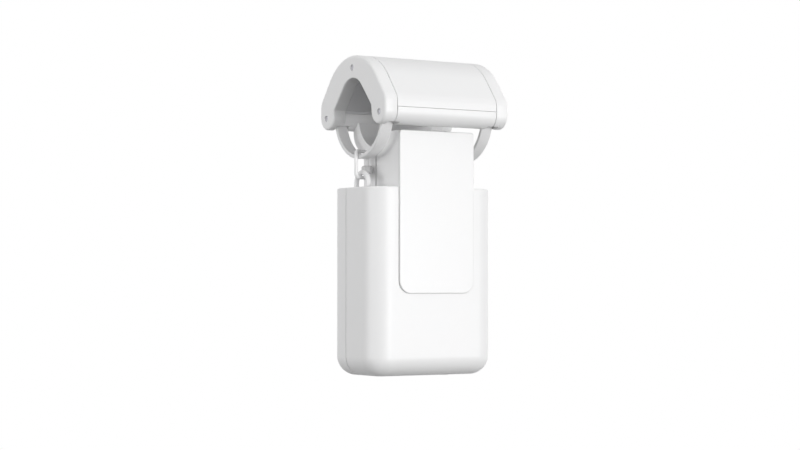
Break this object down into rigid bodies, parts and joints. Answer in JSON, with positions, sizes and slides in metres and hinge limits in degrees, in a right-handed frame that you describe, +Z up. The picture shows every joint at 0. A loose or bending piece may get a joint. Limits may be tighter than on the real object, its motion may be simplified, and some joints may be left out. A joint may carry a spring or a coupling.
{
  "type": "smart curtain robot",
  "caption": "Motorised curtain mover: a lifting arch rides a curtain rod on rollers and drive wheels, with rings and links for the curtain and a battery body below.",
  "frame": {"origin": "the middle of the rod passage, on the axis of the rod that the robot rides on", "axes": "+X along the rod to the right seen from the front, -Y towards the front, +Z up"},
  "size_m": [0.0734, 0.062, 0.1594],
  "materials": {
    "white_plastic": "satin moulded",
    "pale_grey_plastic": "moulded",
    "grey_plastic": "moulded",
    "grey_rubber": "ground",
    "gear_plastic": "moulded",
    "bright_steel": "plated",
    "brass": "turned",
    "cell_wrap": "shrink wrap",
    "black_plastic": "moulded",
    "green_board": "lacquered",
    "clear_plastic": "polished"
  },
  "bodies": {
    "main_unit": {"neck_cover": "white_plastic", "front_panel": "white_plastic", "front_shell": "white_plastic", "rear_shell": "white_plastic", "top_deck": "pale_grey_plastic", "slide_guides": "pale_grey_plastic", "shell_screws": "bright_steel", "gearbox_front_plate": "bright_steel", "gearbox_mid_plate": "bright_steel", "gearbox_rear_plate": "bright_steel", "gearbox_posts": "bright_steel", "axle_bushes": "brass", "idler_axle": "bright_steel", "motor": "bright_steel", "motor_screws": "bright_steel", "battery_cell_upper": "cell_wrap", "battery_cell_lower": "cell_wrap", "battery_holder": "black_plastic", "battery_contacts": "bright_steel", "main_board": "green_board", "radio_module": "bright_steel", "usb_socket": "bright_steel", "tact_switch": "black_plastic", "light_guide": "clear_plastic", "board_screws": "bright_steel", "slide_spring_left": "bright_steel", "slide_spring_right": "bright_steel", "spring_anchors": "pale_grey_plastic"},
    "hook": {"hook_cover": "white_plastic", "hook_core": "pale_grey_plastic", "hook_front_rail": "white_plastic", "hook_rear_rail": "white_plastic", "end_plate_left": "white_plastic", "end_plate_right": "white_plastic", "end_plate_screws": "bright_steel", "slide_arm": "white_plastic", "arm_screws": "bright_steel", "roller_axles": "bright_steel"},
    "roller_left": {"roller_left": "grey_plastic"},
    "roller_right": {"roller_right": "grey_plastic"},
    "ring_left": {"ring_left": "white_plastic"},
    "ring_right": {"ring_right": "white_plastic"},
    "link_left": {"link_left": "white_plastic"},
    "link_right": {"link_right": "white_plastic"},
    "sleeve_left": {"link_sleeve_left": "white_plastic"},
    "sleeve_right": {"link_sleeve_right": "white_plastic"},
    "eye_left": {"eye_left": "white_plastic"},
    "eye_right": {"eye_right": "white_plastic"},
    "wheel_left": {"wheel_axle_left": "bright_steel", "wheel_hub_left": "pale_grey_plastic", "tyre_left": "grey_rubber", "wheel_gear_left": "gear_plastic"},
    "wheel_right": {"wheel_axle_right": "bright_steel", "wheel_hub_right": "pale_grey_plastic", "tyre_right": "grey_rubber", "wheel_gear_right": "gear_plastic"},
    "idler": {"idler_gear": "gear_plastic"},
    "pinion": {"motor_pinion": "brass"},
    "button": {"button": "white_plastic"}
  },
  "joints": [
    {"name": "hook_lift", "type": "slide", "parent": "main_unit", "child": "hook", "axis": [0, 0, 1], "range_m": [0, 0.028], "stiffness_N_per_m": 80, "springref_m": -0.02, "deforming": ["slide_spring_left", "slide_spring_right"]},
    {"name": "roller_left_spin", "type": "hinge", "parent": "hook", "child": "roller_left", "pos_m": [-0.015, 0, 0.0175], "axis": [0, 1, 0], "continuous": true},
    {"name": "ring_left_turn", "type": "hinge", "parent": "hook", "child": "ring_left", "pos_m": [-0.02975, 0, 0], "axis": [1, 0, 0], "range_deg": [0, 72]},
    {"name": "link_left_swing", "type": "hinge", "parent": "hook", "child": "link_left", "pos_m": [-0.02975, 0.002, -0.0196], "axis": [1, 0, 0], "range_deg": [-12, 12]},
    {"name": "sleeve_left_turn", "type": "hinge", "parent": "link_left", "child": "sleeve_left", "pos_m": [-0.02531, 0.00407, -0.02855], "axis": [0, 0, 1], "continuous": true},
    {"name": "eye_left_swing", "type": "hinge", "parent": "link_left", "child": "eye_left", "pos_m": [-0.02975, 0.002, -0.0326], "axis": [1, 0, 0], "range_deg": [-15, 15]},
    {"name": "roller_right_spin", "type": "hinge", "parent": "hook", "child": "roller_right", "pos_m": [0.015, 0, 0.0175], "axis": [0, 1, 0], "continuous": true},
    {"name": "ring_right_turn", "type": "hinge", "parent": "hook", "child": "ring_right", "pos_m": [0.02975, 0, 0], "axis": [1, 0, 0], "range_deg": [0, 72]},
    {"name": "link_right_swing", "type": "hinge", "parent": "hook", "child": "link_right", "pos_m": [0.02975, 0.002, -0.0196], "axis": [1, 0, 0], "range_deg": [-12, 12]},
    {"name": "sleeve_right_turn", "type": "hinge", "parent": "link_right", "child": "sleeve_right", "pos_m": [0.02531, 0.00407, -0.02855], "axis": [0, 0, 1], "continuous": true},
    {"name": "eye_right_swing", "type": "hinge", "parent": "link_right", "child": "eye_right", "pos_m": [0.02975, 0.002, -0.0326], "axis": [1, 0, 0], "range_deg": [-15, 15]},
    {"name": "wheel_left_spin", "type": "hinge", "parent": "main_unit", "child": "wheel_left", "pos_m": [-0.0099, 0, -0.0199], "axis": [0, 1, 0], "continuous": true},
    {"name": "wheel_right_spin", "type": "hinge", "parent": "main_unit", "child": "wheel_right", "pos_m": [0.0099, 0, -0.0199], "axis": [0, 1, 0], "continuous": true},
    {"name": "idler_spin", "type": "hinge", "parent": "main_unit", "child": "idler", "pos_m": [0, 0, -0.03493], "axis": [0, 1, 0], "continuous": true},
    {"name": "pinion_spin", "type": "hinge", "parent": "main_unit", "child": "pinion", "pos_m": [0, 0, -0.05068], "axis": [0, 1, 0], "continuous": true},
    {"name": "button_press", "type": "slide", "parent": "main_unit", "child": "button", "axis": [0, 0, 1], "range_m": [0, 0.0006], "stiffness_N_per_m": 400, "springref_m": -0.0005}
  ],
  "couplings": [
    {"joint": "wheel_right_spin", "follows": "wheel_left_spin", "ratio": 1},
    {"joint": "idler_spin", "follows": "wheel_left_spin", "ratio": -0.6},
    {"joint": "pinion_spin", "follows": "wheel_left_spin", "ratio": 1.5}
  ]
}
